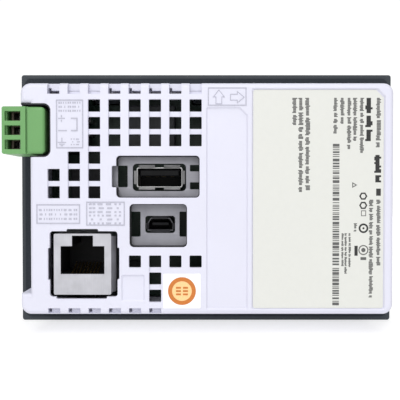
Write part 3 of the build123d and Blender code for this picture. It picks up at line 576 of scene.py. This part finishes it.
# Columns of wordless type on the label, as (middle, top, low end, type height)
COLUMNS = [
    (47.95, 28.2, 14.3, 1.15),
    (43.3, 28.2, 12.8, 1.0),
    (41.4, 28.2, 16.0, 1.0),
    (39.75, 28.2, 13.3, 1.0),
    (37.85, 28.2, 20.6, 1.0),
    (35.95, 28.2, 18.1, 1.0),
    (48.05, -0.2, -18.7, 1.0),
    (46.0, -0.2, -27.9, 1.0),
    (28.2, 28.2, 1.7, 1.15),
    (26.3, 28.2, 1.7, 1.15),
    (24.6, 28.2, 20.2, 1.15),
    (40.0, -9.6, -19.3, 0.6),
    (38.9, -9.6, -21.3, 0.6),
    (38.0, -9.6, -19.3, 0.6),
    (41.6, -6.8, -9.5, 0.8),
]
BOLD_COLUMNS = [(45.35, 28.2, 15.3, 1.7), (47.85, 12.3, 3.9, 1.6)]

# Bar pattern: its side edges, its ends, a gap in it, and the widths and spaces that it is drawn from
BAR_SIDES = (35.15, 37.0)
BAR_TOP = 15.4
BAR_LOW = -29.4
BAR_GAP = (-19.3, -18.3)
BAR_WIDTHS = (0.25, 0.25, 0.5, 0.8)
BAR_SPACES = (0.18, 0.22, 0.3, 0.45)

# Plain symbols. A ring is x, z, radius, corners, line width; a dot has no line width; a block is
# left, right, low, top.
BLACK_RINGS = ((43.7, 0.8, 1.15, 6, 0.4), (43.7, -1.8, 1.15, 6, 0.4), (43.8, -8.2, 1.35, 48, 0.5))
BLACK_DOT = (43.8, -8.2, 0.3, 16)
BLACK_BLOCKS = ((47.3, 48.6, 0.9, 2.9), (41.3, 42.2, -15.9, -13.1))
GREY_RING = (43.8, -14.3, 1.4, 48, 0.3)
GREY_DOT = (43.8, -14.3, 0.6, 24)
GREY_BLOCK = (43.0, 44.6, -17.1, -16.3)
GREY_SQUARE = (43.1, 44.5, -4.8, -3.2)
SQUARE_LINE = 0.2
GREY_TRIANGLE = [(40.6, 3.1), (42.0, 3.9), (40.6, 4.7)]
TRIANGLE_LINE = 0.25


def printed_ring(bm, x, z, radius, corners, line, base):
    band(bm, scaled(circle(x, z, radius, corners)), line * MM, base, INK)


def printed_dot(bm, x, z, radius, corners, base):
    pad(bm, scaled(circle(x, z, radius, corners)), base, INK)


def printed_block(bm, left, right, low, top, base):
    pad(bm, scaled(rectangle(left, right, low, top)), base, INK)


def label_print():
    """Everything printed on the rating label: wordless type, a bar pattern and plain symbols."""
    rng = random.Random(23)
    base = LABEL_LOW.y
    grey = bmesh.new()
    black = bmesh.new()

    for x, z_top, z_low, height in COLUMNS:
        dummy_words(grey, x * MM, z_top * MM, z_low * MM, height * MM, rng, base, STROKE)
    for x, z_top, z_low, height in BOLD_COLUMNS:
        dummy_words(black, x * MM, z_top * MM, z_low * MM, height * MM, rng, base, BOLD_STROKE)

    z = BAR_TOP
    while z > BAR_LOW:
        width = rng.choice(BAR_WIDTHS)
        space = rng.choice(BAR_SPACES)
        if not BAR_GAP[0] < z < BAR_GAP[1]:
            printed_block(grey, *BAR_SIDES, z - width, z, base)
        z -= width + space

    for ring in BLACK_RINGS:
        printed_ring(black, *ring, base)
    printed_dot(black, *BLACK_DOT, base)
    for block in BLACK_BLOCKS:
        printed_block(black, *block, base)
    printed_ring(grey, *GREY_RING, base)
    printed_dot(grey, *GREY_DOT, base)
    printed_block(grey, *GREY_BLOCK, base)
    band(grey, scaled(rectangle(*GREY_SQUARE)), SQUARE_LINE * MM, base, INK)
    band(grey, scaled(GREY_TRIANGLE), TRIANGLE_LINE * MM, base, INK)
    piece("label_print_grey", grey, GREY_INK)
    piece("label_print_black", black, BLACK_INK)


# Mark on the small sticker, from its centre, in millimetres
RING_RADIUS = 3.9
RING_LINE = 1.15
DISC_RADIUS = 2.8
DASH_MIDDLES = (-0.98, 0.98)
DASH_LEVELS = (-0.92, 0.0, 0.92)
DASH_HALF_LENGTH = 0.7
DASH_HALF_WIDTH = 0.27


def mark_print():
    """Plain orange ring on the small sticker, with two stacks of dashes in it."""
    base = MARK_LOW.y
    x = (MARK_LOW.x + MARK_HIGH.x) / 2
    z = (MARK_LOW.z + MARK_HIGH.z) / 2
    half_length = DASH_HALF_LENGTH * MM
    half_width = DASH_HALF_WIDTH * MM
    ring = bmesh.new()
    band(ring, circle(x, z, RING_RADIUS * MM, 72), RING_LINE * MM, base, INK)
    for side in DASH_MIDDLES:
        for height in DASH_LEVELS:
            middle = x + side * MM
            level = z + height * MM
            dash = (middle - half_length, middle + half_length, level - half_width, level + half_width)
            pad(ring, rectangle(*dash), base, INK)
    piece("mark_ring", ring, ORANGE_INK)
    disc = bmesh.new()
    pad(disc, circle(x, z, DISC_RADIUS * MM, 72), base, INK * 0.6)
    piece("mark_disc", disc, PEACH_INK)


# Clear window of the front sheet and the margin round its printed border, in millimetres
WINDOW = [(-40.5, -16.5), (40.5, -16.5), (40.5, 16.5), (-40.5, 16.5)]
OVERLAY_MARGIN = 0.3


def overlay_print():
    """Dark printed border of the front sheet, with the display window left clear."""
    base = OVERLAY_HIGH.y + INK
    half_width = (OVERLAY_HIGH.x - OVERLAY_LOW.x) / 2 - OVERLAY_MARGIN * MM
    half_height = (OVERLAY_HIGH.z - OVERLAY_LOW.z) / 2 - OVERLAY_MARGIN * MM
    bm = bmesh.new()
    border = rectangle(-half_width, half_width, -half_height, half_height)
    rings = [loop(bm, points, y) for points in (border, scaled(WINDOW)) for y in (base, base - INK)]
    outer_high, outer_low, inner_high, inner_low = rings
    bridge(bm, outer_low, outer_high)
    bridge(bm, outer_high, inner_high)
    bridge(bm, inner_high, inner_low)
    bridge(bm, inner_low, outer_low)
    piece("overlay_border", bm, BORDER_INK)


# The raised marks are moulded in the case plastic. This grey, darker than the case, is painted shade of their
# edges.
RAISED_MARK_SHADE = ink("raised_marks", (0.4, 0.4, 0.47))
GREY_INK = ink("grey_ink", (0.09, 0.09, 0.088))
BLACK_INK = ink("black_ink", (0.02, 0.02, 0.02))
ORANGE_INK = ink("orange_ink", (0.5, 0.15, 0.02))
PEACH_INK = ink("peach_ink", (0.82, 0.52, 0.24))
BORDER_INK = film("border_ink", (0.02, 0.025, 0.03), 0.36, 0.35)


# ---------------------------------------------------------------- stage, lights and camera


FLOOR_HALF = 3.0
FLOOR_GLOW = 0.62

# Light from the surround, as (direction, cosines at which it starts and is full, levels there)
BEHIND = ((0, 1, 0), (0.5, 0.85), (0.0, 1.05))
VIEWER_SIDE = ((0, -0.75, 0.6), (0.0, 0.9), (0.04, 0.8))

# Overhead light: direction, strength, and spread in degrees
OVERHEAD = ((0.0, 0.45, -0.85), 1.0, 40)

# Area lights: name, place and target in metres, size, watts
AREA_LIGHTS = (
    ("key", (-0.12, -0.6, 0.34), (-0.02, 0, 0.01), (0.3, 0.3), 1.34),
    ("front_fill", (0.3, 0.7, 0.35), (0, 0, 0), (0.6, 0.5), 1.5),
)


def stage():
    """Plain pale floor under the part."""
    low = BEZEL_LOW.z
    mesh = bpy.data.meshes.new("floor")
    half = FLOOR_HALF
    corners = [(-half, -half, low), (half, -half, low), (half, half, low), (-half, half, low)]
    mesh.from_pydata(corners, [], [(0, 1, 2, 3)])
    floor = bpy.data.objects.new("floor", mesh)
    bpy.context.scene.collection.objects.link(floor)
    s = Shader("floor")
    s.colour(s.ramp(s.noise(60, 2.0), [(0.3, (0.46, 0.46, 0.46)), (0.7, (0.48, 0.48, 0.48))]))
    s.value("Emission Color", (1.0, 1.0, 1.0, 1.0))
    s.value("Emission Strength", FLOOR_GLOW)
    s.roughness(s.span(s.noise(30), 0.8, 0.9))
    s.value("Specular IOR Level", 0.1)
    mesh.materials.append(s.material)


def surround():
    """White behind the part and softer light from the side that its rear faces."""
    world = bpy.data.worlds.new("surround")
    world.use_nodes = True
    tree = world.node_tree
    direction = tree.nodes.new("ShaderNodeTexCoord").outputs["Generated"]

    def glow(axis, cosines, levels):
        facing = tree.nodes.new("ShaderNodeVectorMath")
        facing.operation = "DOT_PRODUCT"
        facing.inputs[1].default_value = Vector(axis).normalized()
        tree.links.new(direction, facing.inputs[0])
        span = tree.nodes.new("ShaderNodeMapRange")
        span.inputs["From Min"].default_value = cosines[0]
        span.inputs["From Max"].default_value = cosines[1]
        span.inputs["To Min"].default_value = levels[0]
        span.inputs["To Max"].default_value = levels[1]
        tree.links.new(facing.outputs["Value"], span.inputs["Value"])
        return span.outputs["Result"]

    brightest = tree.nodes.new("ShaderNodeMath")
    brightest.operation = "MAXIMUM"
    tree.links.new(glow(*BEHIND), brightest.inputs[0])
    tree.links.new(glow(*VIEWER_SIDE), brightest.inputs[1])
    background = tree.nodes["Background"]
    background.inputs["Color"].default_value = (1.0, 1.0, 1.0, 1.0)
    tree.links.new(brightest.outputs["Value"], background.inputs["Strength"])
    bpy.context.scene.world = world


def area_light(name, place, target, size, watts):
    light = bpy.data.lights.new(name, "AREA")
    light.shape = "RECTANGLE"
    light.size, light.size_y = size
    light.energy = watts
    lamp = bpy.data.objects.new(name, light)
    lamp.location = place
    lamp.rotation_euler = (Vector(target) - Vector(place)).to_track_quat("-Z", "Y").to_euler()
    bpy.context.scene.collection.objects.link(lamp)


def overhead_light(towards, strength, spread):
    """Even soft light from above, for the floor and the upper faces."""
    light = bpy.data.lights.new("overhead", "SUN")
    light.energy = strength
    light.angle = math.radians(spread)
    lamp = bpy.data.objects.new("overhead", light)
    lamp.rotation_euler = Vector(towards).to_track_quat("-Z", "Y").to_euler()
    bpy.context.scene.collection.objects.link(lamp)


def lights():
    overhead_light(*OVERHEAD)
    for light in AREA_LIGHTS:
        area_light(*light)


def camera():
    """Close view of the rear, nearly square on and tilted down by a degree."""
    data = bpy.data.cameras.new("camera")
    data.lens = LENS
    data.sensor_width = 36
    data.clip_start = 0.01
    viewer = bpy.data.objects.new("camera", data)
    place = Vector((CAMERA_X * MM, REAR - CAMERA_BACK * MM, CAMERA_UP * MM))
    aim = Vector((CAMERA_X * MM, REAR, AIM_UP * MM))
    viewer.location = place
    viewer.rotation_euler = (aim - place).to_track_quat("-Z", "Y").to_euler()
    bpy.context.scene.collection.objects.link(viewer)
    bpy.context.scene.camera = viewer


camera()
dress_nodes()
for part, width in SOFT_EDGES:
    soften(part, width)
raised_marks()
label_print()
mark_print()
overlay_print()
stage()
surround()
lights()
bpy.context.scene.view_settings.view_transform = "Standard"
